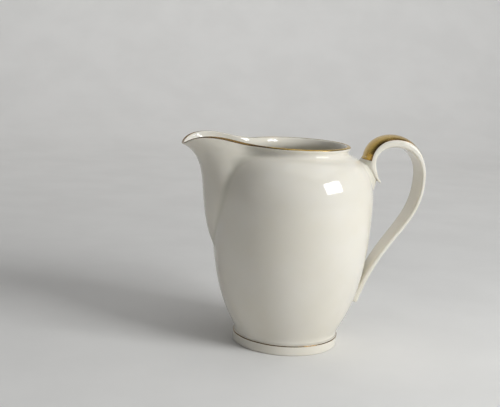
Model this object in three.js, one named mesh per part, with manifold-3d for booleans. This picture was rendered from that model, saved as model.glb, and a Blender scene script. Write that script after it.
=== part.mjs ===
// A porcelain milk jug: a revolved body on a foot ring, a beak spout, a scrolled strap handle and gold lines.
// Millimetres, +Z up. It stands on z = 0, with the spout along -X and the handle along +X.
import * as THREE from "three";
import { mergeVertices } from "three/addons/utils/BufferGeometryUtils.js";
import Module from "manifold-3d";

const wasm = await Module();
wasm.setup();

// Walls, seats and gilding
const WALL = 2.4; // wall of the body and of the spout
const SEAT = 0.3; // gap between neighbouring pieces
const LIP_GOLD = 1.2; // height of the gold on the rim and the lip
const FOOT_GOLD = 0.6; // height of the gold line on the foot
const HANDLE_GOLD = 0.3; // thickness of the gold on the handle

// Foot ring and floor
const FOOT_TOP_RADIUS = 28.9; // the ring's widest place
const FOOT_TAPER = 0.4; // the ring draws in by this much towards the table
const FOOT_HEIGHT = 4.7;
const FOOT_WIDTH = 4.2; // from the widest place to the inside of the ring
const FOOT_ROUND = 0.7; // rounding of the ring's lower edges
const BASE_RECESS = 3.4; // the jug's underside above the table
const FLOOR = 3.2; // thickness of the floor
const FLOOR_CORNER = 6; // rounding between the floor and the wall inside

// Body
const WAIST_RADIUS = 28.5;
const WAIST_RISE = 1.1; // straight stretch between the foot's line and the belly
const BELLY_RADIUS = 43.4;
const BELLY_HEIGHT = 79;
const SHOULDER_RADIUS = 31; // where the shoulder turns up into the neck
const NECK_RADIUS = 28.3;
const RIM_RADIUS = 29.6;
const RIM_HEIGHT = 110;
const COLLAR = 5.6; // from the shoulder's edge up to the rim
const NECK_DROP = 3; // from the rim down to the neck's narrowest ring

// Spout
const SPOUT_ROOT_HEIGHT = 53.7; // where the beak leaves the belly
const THROAT_HEIGHT = 84.1; // where its front stands upright
const THROAT_BULGE = 5.9; // the front beyond the belly at the throat
const LIP_REACH = 31.8; // the tip beyond the rim
const LIP_DROP = 1.6; // the tip below the rim
const LIP_RISE = 3.4; // the lip's crest above the rim
const LIP_CREST_BACK = 12.7; // the crest behind the tip
const LIP_START = 18.9; // distance from the axis where the rim begins to rise
const SPOUT_ROOT_HALF = 11.2; // half widths of the beak at its root, throat and neck
const SPOUT_THROAT_HALF = 20.9;
const SPOUT_NECK_HALF = 16.5;
const SPOUT_FILLET = 9; // rounding between the beak's flank and the neck

// Handle
const HANDLE_RISE = 6.5; // top of the strap above the rim
const HANDLE_CREST_OUT = 10.1; // the crest beyond the belly
const HANDLE_REACH = 28.8; // outer face beyond the belly
const HANDLE_REACH_HEIGHT = 93.9;
const TAIL_HEIGHT = 89.85; // where the body lies square behind the tip of the scroll's tail
const TAIL_STAND_OFF = 4.4; // the tip's middle off the body
const TAIL_LENGTH = 9; // the tail thins over this length
const TAIL_FREE = 2.5; // the tail's tip stands free over this length
const SCROLL_LIFT = 11.5; // above the tail the scroll runs up along the body's wall by this much
const SCROLL_LEAN = 6.1; // while it leans in to the wall by this much
const SCROLL_OVER = 12.1; // before the crest it runs out level over this length
const HANDLE_FOOT_HEIGHT = 23.2; // lower end of the strap
const TAIL_WIDTH = 16.7; // widths of the strap, from the tail down to the lower end
const CREST_WIDTH = 18.8;
const REACH_WIDTH = 17.8;
const RUN_WIDTH = 14.2; // halfway down the straight run
const END_WIDTH = 10.7;
const TAIL_THICKNESS = 1.2; // thicknesses along the strap's edges, from the tail down to the lower end
const SCROLL_THICKNESS = 3.5;
const CREST_THICKNESS = 4.8;
const REACH_THICKNESS = 2.3;
const RUN_THICKNESS = 2.2;
const END_THICKNESS = 3.2;
const SCROLL_DOME = 1.8; // swell of the outer face over the edges, from the scroll down to the lower end
const CREST_DOME = 1.5;
const REACH_DOME = 0.9;
const RUN_DOME = 0.4;
const END_DOME = 0.3;
const GOLD_BEFORE = 17.3; // the gold starts this far before the crest, along the strap
const GOLD_AFTER = 19.2; // and ends this far past it
const ROOT_WIDTH = 15; // width of the wedge under the scroll
const ROOT_LENGTH = 5.5; // length of the strap that the wedge carries
const ROOT_DROP = 5; // the wedge's lower tip below the tail

// Curves: the reach of the handle at each end, as shares [out, up] of the span between the ends
const BELLY_CURVE = { leave: [0.01, 0.072], arrive: [0, 0.765] };
const SHOULDER_CURVE = { leave: [0, 0.57], arrive: [0.5, 0.08] };
const NECK_CURVE = { leave: [0.67, 0.22], arrive: [0, 0.44] };
const RIM_CURVE = { leave: [0, 0.33], arrive: [0.67, 0.33] };
const FLOOR_CURVE = { leave: [0.56, 0], arrive: [0.11, 0.67] };
const THROAT_CURVE = { leave: [0.5, 0.2], arrive: [0.2, 0.5] };
const FLARE_CURVE = { leave: [0.1, 0.58], arrive: [0.68, 0.17] };
const LIP_CURVE = { leave: [0.5, 0], arrive: [0.33, 0] };
const TIP_CURVE = { leave: [0.45, 0], arrive: [0.2, 0.65] };
const REACH_CURVE = { leave: [0.58, 0], arrive: [0, 0.59] };
const RUN_CURVE = { leave: [0, 0.395], arrive: [0.386, 0.568] };
const HOLLOW_CURVE = { leave: [0.13, 0.35], arrive: [0.45, 0.4] };

// Other ratios
const SECTION_POWER = 6; // squareness of the strap's section
const GOLD_WIDTH_SHARE = 0.9; // of the strap's width
const LIP_LEVEL_POWER = 1.3; // above 1 the beak's sections crowd towards the lip
const MOUTH_LEVEL_POWER = 0.6; // below 1 the mouth's levels crowd towards the root

// Facets
const ROUND_STEPS = 60;
const BELLY_STEPS = 9;
const SHOULDER_STEPS = 7;
const NECK_STEPS = 3;
const RIM_STEPS = 2;
const FLOOR_STEPS = 4;
const FRONT_STEPS = 12;
const LIP_STEPS = 10;
const NOSE_STEPS = 11;
const FILLET_STEPS = 5;
const SPOUT_LEVELS = 22;
const MOUTH_LEVELS = 30;
const STRAP_STEPS = 48;
const STRAP_SIDES = 18;
const GOLD_SIDES = 8;
const ROOT_STEPS = 6;
const HOLLOW_STEPS = 6;

const v2 = (x, y) => new THREE.Vector2(x, y);

// A curve between two ends, with its handles set by shares of the span.
function curve(from, to, { leave, arrive }) {
  const span = to.clone().sub(from);
  const start = from.clone().add(span.clone().multiply(v2(...leave)));
  const end = to.clone().sub(span.clone().multiply(v2(...arrive)));
  return new THREE.CubicBezierCurve(from, start, end, to);
}

// Points of joined curves, each curve with its own count, without doubled ends.
function pointsAlong(...curvesAndCounts) {
  const points = [];
  for (const [bend, count] of curvesAndCounts) {
    const run = bend.getPoints(count);
    points.push(...(points.length ? run.slice(1) : run));
  }
  return points;
}

// Height or value between given [place, value] pairs, eased from one pair to the next.
function between(pairs, place) {
  const next = pairs.findIndex(([at]) => at > place);
  if (next === 0) return pairs[0][1];
  if (next < 0) return pairs.at(-1)[1];
  const [from, low] = pairs[next - 1];
  const [to, high] = pairs[next];
  return THREE.MathUtils.lerp(low, high, THREE.MathUtils.smoothstep(place, from, to));
}

// A closed geometry as a solid that can be joined and cut.
function solidOf(geometry) {
  const bare = new THREE.BufferGeometry();
  bare.setAttribute("position", geometry.getAttribute("position"));
  bare.setIndex(geometry.index);
  const merged = mergeVertices(bare, 1e-4);
  const corners = merged.index.array;
  const triVerts = [];
  for (let i = 0; i < corners.length; i += 3) {
    const [a, b, c] = corners.slice(i, i + 3);
    if (a !== b && b !== c && c !== a) triVerts.push(a, b, c);
  }
  const vertProperties = merged.getAttribute("position").array;
  return new wasm.Manifold(
    new wasm.Mesh({ numProp: 3, vertProperties, triVerts: new Uint32Array(triVerts) }),
  );
}

function geometryOf(solid) {
  const { vertProperties, triVerts } = solid.getMesh();
  const geometry = new THREE.BufferGeometry();
  geometry.setAttribute("position", new THREE.BufferAttribute(vertProperties, 3));
  geometry.setIndex(new THREE.BufferAttribute(triVerts, 1));
  geometry.computeVertexNormals();
  return geometry;
}

// A profile of (radius, height) points turned about the jug's axis.
function turned(profile) {
  return solidOf(new THREE.LatheGeometry(profile, ROUND_STEPS).rotateX(Math.PI / 2));
}

// A skin over rings of equally many points, closed by a flat fan at each end.
function lofted(rings) {
  const sides = rings[0].length;
  const positions = rings.flat().flatMap((p) => [p.x, p.y, p.z]);
  const faces = [];
  for (let r = 0; r + 1 < rings.length; r++) {
    for (let s = 0; s < sides; s++) {
      const a = r * sides + s;
      const b = r * sides + ((s + 1) % sides);
      faces.push(a, b, b + sides, a, b + sides, a + sides);
    }
  }
  const last = (rings.length - 1) * sides;
  for (let s = 1; s + 1 < sides; s++) {
    faces.push(0, s + 1, s, last, last + s, last + s + 1);
  }
  const geometry = new THREE.BufferGeometry();
  geometry.setAttribute("position", new THREE.Float32BufferAttribute(positions, 3));
  geometry.setIndex(faces);
  return solidOf(geometry);
}

// An outline of (distance along X, height) points given a width across Y.
function extrudedAcross(outline, width) {
  const slab = new THREE.ExtrudeGeometry(new THREE.Shape(outline), { depth: width, bevelEnabled: false });
  return solidOf(slab.translate(0, 0, -width / 2).rotateX(Math.PI / 2));
}

// Body profile
const footInside = FOOT_TOP_RADIUS - FOOT_WIDTH;
const bodySeat = FOOT_HEIGHT + SEAT + FOOT_GOLD + SEAT;
const waist = v2(WAIST_RADIUS, bodySeat + WAIST_RISE);
const belly = v2(BELLY_RADIUS, BELLY_HEIGHT);
const shoulder = v2(SHOULDER_RADIUS, RIM_HEIGHT - COLLAR);
const neck = v2(NECK_RADIUS, RIM_HEIGHT - NECK_DROP);
const rim = v2(RIM_RADIUS, RIM_HEIGHT);

const wall = pointsAlong(
  [curve(waist, belly, BELLY_CURVE), BELLY_STEPS],
  [curve(belly, shoulder, SHOULDER_CURVE), SHOULDER_STEPS],
  [curve(shoulder, neck, NECK_CURVE), NECK_STEPS],
  [curve(neck, rim, RIM_CURVE), RIM_STEPS],
);
const aboveRim = v2(0, WALL); // the turned solids run past the rim and are trimmed along the lip

// The wall's points moved square to themselves by a distance, inwards when it is negative.
function offsetWall(distance) {
  return wall.map((point, i) => {
    const before = wall[Math.max(i - 1, 0)];
    const after = wall[Math.min(i + 1, wall.length - 1)];
    const along = after.clone().sub(before).normalize();
    return v2(point.x + along.y * distance, point.y - along.x * distance);
  });
}

// Outer radius of the body at a height.
function bodyRadius(height) {
  const next = wall.findIndex((p) => p.y > height);
  if (next < 0) return rim.x;
  if (next === 0) return wall[0].x;
  const low = wall[next - 1];
  const high = wall[next];
  return THREE.MathUtils.mapLinear(height, low.y, high.y, low.x, high.x);
}

// Direction of the body's outside at a height, upwards along the wall.
function alongBody(height) {
  return v2(bodyRadius(height + WALL) - bodyRadius(height - WALL), 2 * WALL).normalize();
}

// A point square off the body's outside at a height, inside it when the distance is negative.
function offBody(height, distance) {
  const along = alongBody(height);
  return v2(bodyRadius(height) + along.y * distance, height - along.x * distance);
}

// The body as a filled solid, let out by a gap all over for cutting its neighbours.
function filledBody(gap) {
  const skin = offsetWall(gap);
  const boss = footInside - SEAT;
  return turned([
    v2(0, BASE_RECESS),
    v2(boss, BASE_RECESS),
    v2(boss, bodySeat),
    v2(waist.x + gap, bodySeat),
    ...skin,
    skin.at(-1).clone().add(aboveRim),
    v2(0, rim.y + aboveRim.y),
  ]);
}

// The room inside the body, from the floor up past the rim.
function bodyRoom() {
  const floorTop = BASE_RECESS + FLOOR;
  const inside = offsetWall(-WALL).filter((p) => p.y > floorTop + FLOOR_CORNER);
  const start = inside[0];
  const corner = curve(v2(start.x - 2 * FLOOR_CORNER, floorTop), start, FLOOR_CURVE);
  return turned([
    v2(0, floorTop),
    ...corner.getPoints(FLOOR_STEPS),
    ...inside.slice(1),
    inside.at(-1).clone().add(aboveRim).add(aboveRim),
    v2(0, inside.at(-1).y + 2 * aboveRim.y),
  ]);
}

// Spout
const tip = v2(rim.x + LIP_REACH, rim.y - LIP_DROP);
const crest = v2(tip.x - LIP_CREST_BACK, rim.y + LIP_RISE);
const throat = v2(belly.x + THROAT_BULGE, THROAT_HEIGHT);
const root = v2(bodyRadius(SPOUT_ROOT_HEIGHT), SPOUT_ROOT_HEIGHT);

// The beak's front from its root up to the tip, as a line of (distance, height) points.
function frontLine() {
  const line = pointsAlong(
    [curve(root, throat, THROAT_CURVE), FRONT_STEPS],
    [curve(throat, tip, FLARE_CURVE), FRONT_STEPS],
  );
  const leave = line.at(-1).clone().sub(line.at(-2));
  const beyond = (crest.y + WALL - tip.y) / leave.y;
  return [...line, tip.clone().addScaledVector(leave, beyond)];
}

const front = frontLine();

function frontAt(height) {
  const next = front.findIndex((p) => p.y > height);
  if (next < 0) return front.at(-1).x;
  const low = front[Math.max(next - 1, 0)];
  const high = front[Math.max(next, 1)];
  return THREE.MathUtils.mapLinear(height, low.y, high.y, low.x, high.x);
}

// Half of one level section of the beak, from the nose back: a half-elliptic nose, a flat flank and a
// rounding that runs out into the neck. Points are (distance from the axis, half width).
function spoutSide(height, inset, rounding) {
  const half = between(
    [
      [root.y, SPOUT_ROOT_HALF],
      [throat.y, SPOUT_THROAT_HALF],
      [neck.y, SPOUT_NECK_HALF],
    ],
    height,
  ) - inset;
  const fillet = between(
    [
      [shoulder.y - COLLAR, SEAT],
      [neck.y, rounding],
    ],
    height,
  );
  const body = bodyRadius(height);
  const nose = frontAt(height) - inset;
  const filletOut = Math.sqrt(Math.max((body + fillet) ** 2 - (half + fillet) ** 2, 0));
  const filletAt = Math.min(filletOut, rim.x);
  const sweep = Math.atan2(filletAt, half + fillet);
  const side = [];
  for (let i = 0; i <= NOSE_STEPS; i++) {
    const turn = (i / NOSE_STEPS) * (Math.PI / 2);
    side.push(v2(rim.x + (nose - rim.x) * Math.cos(turn), half * Math.sin(turn)));
  }
  for (let i = 1; i <= FILLET_STEPS; i++) {
    const turn = (i / FILLET_STEPS) * sweep;
    side.push(v2(filletAt - fillet * Math.sin(turn), half + fillet - fillet * Math.cos(turn)));
  }
  return side;
}

// Levels from the beak's root up to above its crest, crowding towards one end as the power says.
function spoutHeights(count, power) {
  const heights = [];
  for (let i = 0; i <= count; i++) {
    const share = 1 - (1 - i / count) ** power;
    heights.push(THREE.MathUtils.lerp(root.y, front.at(-1).y, share));
  }
  return heights;
}

// The beak as a filled solid, let in by an inset all over and closed at the jug's axis.
function filledSpout(inset, rounding) {
  const sections = spoutHeights(SPOUT_LEVELS, LIP_LEVEL_POWER).map((height) => {
    const side = spoutSide(height, inset, rounding);
    const otherSide = side.slice(1).map((p) => v2(p.x, -p.y));
    const outline = [v2(0, 0), ...side.reverse(), ...otherSide];
    return outline.map((p) => new THREE.Vector3(-p.x, p.y, height));
  });
  return lofted(sections);
}

// Half width of the beak's room where it meets the middle of the body's wall.
function mouthHalf(height) {
  const middle = bodyRadius(height) - WALL / 2;
  const side = spoutSide(height, WALL, SEAT);
  const next = side.findIndex((p) => p.length() < middle);
  if (next === 0) return 0;
  if (next < 0) return side.at(-1).y;
  const out = side[next - 1];
  const back = side[next];
  return THREE.MathUtils.mapLinear(middle, out.length(), back.length(), out.y, back.y);
}

// The mouth cut through the body's wall behind the beak.
function mouth() {
  const heights = spoutHeights(MOUTH_LEVELS, MOUTH_LEVEL_POWER).filter((height) => mouthHalf(height) > SEAT);
  const side = heights.map((height) => v2(mouthHalf(height), height));
  const otherSide = side.map((p) => v2(-p.x, p.y)).reverse();
  const slab = new THREE.ExtrudeGeometry(new THREE.Shape([...side, ...otherSide]), {
    depth: tip.x,
    bevelEnabled: false,
  });
  return solidOf(slab.rotateX(Math.PI / 2).rotateZ(-Math.PI / 2));
}

// Everything above the line of the rim and the lip, lowered by a drop.
function aboveLip(drop) {
  const line = pointsAlong(
    [curve(v2(LIP_START, rim.y), crest, LIP_CURVE), LIP_STEPS],
    [curve(crest, tip, TIP_CURVE), LIP_STEPS],
  );
  const leave = line.at(-1).clone().sub(line.at(-2));
  const past = tip.clone().addScaledVector(leave, LIP_REACH / leave.x);
  const lowered = [...line, past].map((p) => v2(-p.x, p.y - drop));
  const ceiling = 2 * rim.y;
  const outline = [
    v2(2 * belly.x, rim.y - drop),
    ...lowered,
    v2(lowered.at(-1).x, ceiling),
    v2(2 * belly.x, ceiling),
  ];
  return extrudedAcross(outline, 4 * belly.x);
}

// Handle
const strapCrest = v2(
  belly.x + HANDLE_CREST_OUT,
  rim.y + HANDLE_RISE - CREST_DOME - CREST_THICKNESS / 2,
);
const strapReach = v2(
  belly.x + HANDLE_REACH - REACH_DOME - REACH_THICKNESS / 2,
  HANDLE_REACH_HEIGHT,
);
const tail = offBody(TAIL_HEIGHT, TAIL_STAND_OFF);
const strapFoot = v2(
  bodyRadius(HANDLE_FOOT_HEIGHT) + END_THICKNESS / 2 - SEAT,
  HANDLE_FOOT_HEIGHT,
);

const tailUp = alongBody(TAIL_HEIGHT);
const tailLean = tailUp.angle() - Math.PI / 2;
const scrollLean = v2(-SCROLL_LEAN, SCROLL_LIFT).rotateAround(v2(0, 0), tailLean);

const strap = new THREE.CurvePath();
strap.add(
  new THREE.CubicBezierCurve(
    tail,
    tail.clone().add(scrollLean),
    v2(strapCrest.x - SCROLL_OVER, strapCrest.y),
    strapCrest,
  ),
);
strap.add(curve(strapCrest, strapReach, REACH_CURVE));
strap.add(curve(strapReach, strapFoot, RUN_CURVE));
const strapLength = strap.getLength();
const [crestAt, reachAt] = strap.getCurveLengths().map((length) => length / strapLength);
const runAt = (1 + reachAt) / 2;

const strapWidth = (at) =>
  between(
    [
      [0, TAIL_WIDTH],
      [crestAt, CREST_WIDTH],
      [reachAt, REACH_WIDTH],
      [runAt, RUN_WIDTH],
      [1, END_WIDTH],
    ],
    at,
  );

const strapThickness = (at) =>
  between(
    [
      [0, TAIL_THICKNESS],
      [TAIL_LENGTH / strapLength, SCROLL_THICKNESS],
      [crestAt, CREST_THICKNESS],
      [reachAt, REACH_THICKNESS],
      [runAt, RUN_THICKNESS],
      [1, END_THICKNESS],
    ],
    at,
  );

const strapDome = (at) =>
  between(
    [
      [0, 0],
      [TAIL_LENGTH / strapLength, SCROLL_DOME],
      [crestAt, CREST_DOME],
      [reachAt, REACH_DOME],
      [runAt, RUN_DOME],
      [1, END_DOME],
    ],
    at,
  );

// A point of the strap: a place along its line, across its width and out from its middle.
function strapPoint(at, across, out) {
  const middle = strap.getPointAt(at);
  const along = strap.getTangentAt(at);
  return new THREE.Vector3(middle.x - along.y * out, across, middle.y + along.x * out);
}

// The strap as a solid with a flat inner and a swelling outer face, let out by a gap all round.
function filledStrap(gap) {
  const rings = [];
  for (let i = 0; i <= STRAP_STEPS; i++) {
    const at = i / STRAP_STEPS;
    const halfWidth = strapWidth(at) / 2 + gap;
    const halfThickness = strapThickness(at) / 2 + gap;
    const squared = (x) => Math.sign(x) * Math.abs(x) ** (2 / SECTION_POWER);
    const ring = [];
    for (let s = 0; s < STRAP_SIDES; s++) {
      const turn = ((s + 0.5) / STRAP_SIDES) * 2 * Math.PI;
      const share = squared(Math.cos(turn));
      const swell = turn < Math.PI ? strapDome(at) * (1 - share ** 2) : 0;
      ring.push(strapPoint(at, halfWidth * share, halfThickness * squared(Math.sin(turn)) + swell));
    }
    rings.push(ring);
  }
  return lofted(rings);
}

// The gold over the strap's outer face.
function goldBand() {
  const rings = [];
  const places = [];
  for (let i = 0; i <= GOLD_SIDES; i++) {
    places.push(-Math.cos((i / GOLD_SIDES) * Math.PI));
  }
  const start = crestAt - GOLD_BEFORE / strapLength;
  const end = crestAt + GOLD_AFTER / strapLength;
  const steps = Math.round(STRAP_STEPS * (end - start));
  for (let i = 0; i <= steps; i++) {
    const at = THREE.MathUtils.lerp(start, end, i / steps);
    const halfWidth = strapWidth(at) / 2;
    const face = (place, lift) => {
      const share = place * GOLD_WIDTH_SHARE;
      const crown = (1 - Math.abs(share) ** SECTION_POWER) ** (1 / SECTION_POWER);
      const swell = strapDome(at) * (1 - share ** 2);
      return strapPoint(at, share * halfWidth, (crown * strapThickness(at)) / 2 + swell + lift);
    };
    rings.push([
      ...places.map((place) => face(place, SEAT)),
      ...places.map((place) => face(-place, SEAT + HANDLE_GOLD)),
    ]);
  }
  return lofted(rings);
}

// The wedge between the scroll and the shoulder, from under the tail's free tip up. Its hollow leans with
// the body's wall.
function rootWedge() {
  const carried = [];
  for (let i = 0; i <= ROOT_STEPS; i++) {
    carried.push(strap.getPointAt((TAIL_FREE + (ROOT_LENGTH * i) / ROOT_STEPS) / strapLength));
  }
  const upright = (point) => point.clone().rotateAround(tail, -tailLean);
  const wedgeFoot = offBody(TAIL_HEIGHT - ROOT_DROP * tailUp.y, -WALL / 2);
  const hollow = curve(upright(carried[0]), upright(wedgeFoot), HOLLOW_CURVE).getPoints(HOLLOW_STEPS);
  const outline = [
    v2(neck.x, wedgeFoot.y),
    v2(neck.x, carried.at(-1).y),
    ...carried.slice(1).reverse(),
    ...hollow.map((point) => point.rotateAround(tail, tailLean)),
  ];
  return extrudedAcross(outline, ROOT_WIDTH);
}

// Foot ring and its line
function footRing() {
  const standRadius = FOOT_TOP_RADIUS - FOOT_TAPER;
  return turned([
    v2(footInside, FOOT_ROUND),
    v2(footInside + FOOT_ROUND, 0),
    v2(standRadius - FOOT_ROUND, 0),
    v2(standRadius, FOOT_ROUND),
    v2(FOOT_TOP_RADIUS, FOOT_HEIGHT - FOOT_ROUND),
    v2(FOOT_TOP_RADIUS, FOOT_HEIGHT),
    v2(footInside, FOOT_HEIGHT),
    v2(footInside, FOOT_ROUND),
  ]);
}

function footLine() {
  const low = FOOT_HEIGHT + SEAT;
  const high = low + FOOT_GOLD;
  return turned([
    v2(footInside, low),
    v2(FOOT_TOP_RADIUS, low),
    v2(FOOT_TOP_RADIUS, high),
    v2(footInside, high),
    v2(footInside, low),
  ]);
}

// Materials
const porcelain = () => new THREE.MeshStandardMaterial({ color: 0xe9e3d5, roughness: 0.12, metalness: 0 });
const gold = () => new THREE.MeshStandardMaterial({ color: 0xc99a3f, roughness: 0.22, metalness: 1 });

// Assembly
const bodySolid = filledBody(0);
const bodyCutter = filledBody(SEAT);
const room = bodyRoom();
const spoutSolid = filledSpout(0, SPOUT_FILLET);
const spoutRoom = filledSpout(WALL, SEAT);
const strapSolid = filledStrap(0);
const lipCutter = aboveLip(LIP_GOLD + SEAT);
const hollowWall = bodySolid.add(spoutSolid).subtract(room).subtract(spoutRoom);

const jug = new THREE.Group();
jug.position.x = (tip.x - (belly.x + HANDLE_REACH)) / 2;

function addPiece(name, solid, material) {
  const piece = new THREE.Mesh(geometryOf(solid), material);
  piece.name = name;
  jug.add(piece);
}

addPiece("body", bodySolid.subtract(room).subtract(mouth()).subtract(lipCutter), porcelain());
addPiece("foot_ring", footRing(), porcelain());
addPiece("spout", spoutSolid.subtract(spoutRoom).subtract(bodyCutter).subtract(lipCutter), porcelain());
addPiece("handle", strapSolid.subtract(bodyCutter), porcelain());
addPiece("handle_root", rootWedge().subtract(filledStrap(SEAT)).subtract(bodyCutter), porcelain());
addPiece("rim_gold_line", hollowWall.subtract(aboveLip(0)).intersect(aboveLip(LIP_GOLD)), gold());
addPiece("foot_gold_line", footLine(), gold());
addPiece("handle_gold_band", goldBand().subtract(bodyCutter), gold());

const milkJug = new THREE.Group();
milkJug.add(jug);

export default milkJug;
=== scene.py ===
"""A porcelain milk jug, dressed: a glazed wall with its beak, a foot, a strap handle and gold lines."""
import logging
import math
from collections.abc import Iterable, Mapping, Sequence
from dataclasses import dataclass
from enum import Enum
from functools import cached_property
from typing import Any

import bmesh
import bpy
import numpy as np
from mathutils import Matrix, Vector


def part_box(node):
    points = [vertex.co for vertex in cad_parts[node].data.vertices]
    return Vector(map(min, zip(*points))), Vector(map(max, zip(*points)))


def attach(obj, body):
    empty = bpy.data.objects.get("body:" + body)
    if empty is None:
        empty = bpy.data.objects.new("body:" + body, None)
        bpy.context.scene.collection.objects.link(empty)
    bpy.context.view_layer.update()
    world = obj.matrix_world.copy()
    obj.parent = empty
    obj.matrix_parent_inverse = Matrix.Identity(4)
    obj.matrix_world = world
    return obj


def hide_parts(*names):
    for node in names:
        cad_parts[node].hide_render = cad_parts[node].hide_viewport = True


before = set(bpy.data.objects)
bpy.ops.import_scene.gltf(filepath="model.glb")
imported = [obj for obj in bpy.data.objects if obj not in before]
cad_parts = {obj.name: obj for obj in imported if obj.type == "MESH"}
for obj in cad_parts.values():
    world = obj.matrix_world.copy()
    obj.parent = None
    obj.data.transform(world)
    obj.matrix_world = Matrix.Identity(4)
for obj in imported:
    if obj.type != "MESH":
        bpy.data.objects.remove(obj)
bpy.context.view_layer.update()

log = logging.getLogger("milk_jug")

MM = 0.001
RIDES_ON = "root"
# Points closer than this, in metres, become one
WELD = 1e-6
# The least slope that is divided by
LEAST = 1e-9
# How far the turned gold lines stand over the glaze and reach into it, in millimetres
FILM_PROUD = 0.05
FILM_SUNK = 0.12
Numbers = np.ndarray
Colour = tuple[float, float, float, float]
Point = tuple[float, float]
Triple = tuple[float, float, float]


class Slot(Enum):
    """The record's material slots."""

    PORCELAIN = "porcelain"
    GOLD = "gold"


class Side(Enum):
    """The two faces of the wall."""

    OUTSIDE = "outside"
    INSIDE = "inside"


class Mark(Enum):
    """Numbers that a mesh carries at each point for its finish."""

    # A darker tone in hollows and creases: glaze that pools there, and painted shade
    POOL_AND_SHADE = "glaze_pool_and_shade"
    EDGE = "film_edge"


# Shader maths


class Value:
    """One output of a shader, with arithmetic that adds Math nodes."""

    def __init__(self, graph: "Graph", socket: bpy.types.NodeSocket) -> None:
        """Wrap a socket of a graph."""
        self.graph = graph
        self.socket = socket

    def _math(self, operation: str, left: "Value | float", right: "Value | float") -> "Value":
        """Add one Math node.

        Args:
            operation: Blender's name of the operation.
            left: First operand.
            right: Second operand.

        Returns:
            The result.
        """
        return self.graph.node("ShaderNodeMath", {"operation": operation}, {0: left, 1: right})

    def __add__(self, other: "Value | float") -> "Value":
        """Sum."""
        return self._math("ADD", self, other)

    __radd__ = __add__

    def __sub__(self, other: "Value | float") -> "Value":
        """Difference."""
        return self._math("SUBTRACT", self, other)

    def __rsub__(self, other: float) -> "Value":
        """Difference from a number."""
        return self._math("SUBTRACT", other, self)

    def __mul__(self, other: "Value | float") -> "Value":
        """Product."""
        return self._math("MULTIPLY", self, other)

    __rmul__ = __mul__

    def within(self, low: float, high: float) -> "Value":
        """Rise smoothly from 0 at low to 1 at high.

        Args:
            low: Where the result is 0.
            high: Where the result is 1.

        Returns:
            The eased result, between 0 and 1.
        """
        inputs = {"Value": self, "From Min": low, "From Max": high}
        return self.graph.node("ShaderNodeMapRange", {"interpolation_type": "SMOOTHSTEP"}, inputs, "Result")


class Graph:
    """The node tree of one material."""

    def __init__(self, name: str) -> None:
        """Start a material with an empty tree.

        Args:
            name: The material's name.
        """
        self.material = bpy.data.materials.new(name)
        self.material.use_nodes = True
        self.tree = self.material.node_tree
        self.tree.nodes.clear()

    @staticmethod
    def _find(sockets: Any, key: str | int) -> bpy.types.NodeSocket:
        """Find a socket.

        Args:
            sockets: A node's inputs or outputs.
            key: The socket's place, identifier or name.

        Returns:
            The socket.
        """
        if isinstance(key, str):
            for socket in sockets:
                if socket.identifier == key:
                    return socket
        return sockets[key]

    def node(
        self,
        kind: str,
        settings: Mapping[str, Any] | None = None,
        inputs: Mapping[str | int, Any] | None = None,
        output: str | int = 0,
    ) -> Value:
        """Add a node.

        Args:
            kind: Blender's type of the node.
            settings: Its properties, which are set first.
            inputs: Values or links of its sockets.
            output: The socket that is returned.

        Returns:
            The chosen output.
        """
        node = self.tree.nodes.new(kind)
        for name, value in (settings or {}).items():
            setattr(node, name, value)
        for key, value in (inputs or {}).items():
            socket = self._find(node.inputs, key)
            if isinstance(value, Value):
                self.tree.links.new(value.socket, socket)
            else:
                socket.default_value = value
        return Value(self, self._find(node.outputs, output))

    def place(self) -> Value:
        """Position on the jug, in metres, in the jug's own frame."""
        return self.node("ShaderNodeTexCoord", None, None, "Object")

    def height(self) -> Value:
        """Height above the table, in metres."""
        return self.node("ShaderNodeSeparateXYZ", None, {"Vector": self.place()}, "Z")

    def mark(self, mark: Mark) -> Value:
        """A number that the mesh carries at each point."""
        return self.node("ShaderNodeAttribute", {"attribute_name": mark.value}, None, "Fac")

    def noise(self, where: Value, size_mm: float, detail: float) -> Value:
        """Soft noise.

        Args:
            where: Coordinates in metres.
            size_mm: Width of one blot.
            detail: Octaves.

        Returns:
            A value about 0.5, between 0 and 1.
        """
        inputs = {"Vector": where, "Scale": 1.0 / (size_mm * MM), "Detail": detail}
        return self.node("ShaderNodeTexNoise", None, inputs, "Fac")

    def mix(self, share: "Value | float", first: "Value | Colour", second: "Value | Colour") -> Value:
        """Blend two colours.

        Args:
            share: Part of the second colour.
            first: Colour at 0.
            second: Colour at 1.

        Returns:
            The blended colour.
        """
        inputs = {"Factor_Float": share, "A_Color": first, "B_Color": second}
        return self.node("ShaderNodeMix", {"data_type": "RGBA"}, inputs, "Result_Color")

    def bump(self, height: Value, depth_mm: float) -> Value:
        """Turn a height between 0 and 1 into a normal.

        Args:
            height: The relief.
            depth_mm: Depth of the relief.

        Returns:
            The bumped normal.
        """
        return self.node("ShaderNodeBump", None, {"Height": height, "Distance": depth_mm * MM}, "Normal")

    def surface(self, inputs: Mapping[str, Any]) -> bpy.types.Material:
        """Close the tree with a principled surface.

        Args:
            inputs: Values or links of the surface's sockets.

        Returns:
            The finished material.
        """
        shader = self.node("ShaderNodeBsdfPrincipled", None, inputs, "BSDF")
        end = self.tree.nodes.new("ShaderNodeOutputMaterial")
        self.tree.links.new(shader.socket, end.inputs["Surface"])
        return self.material


# Finishes


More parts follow.
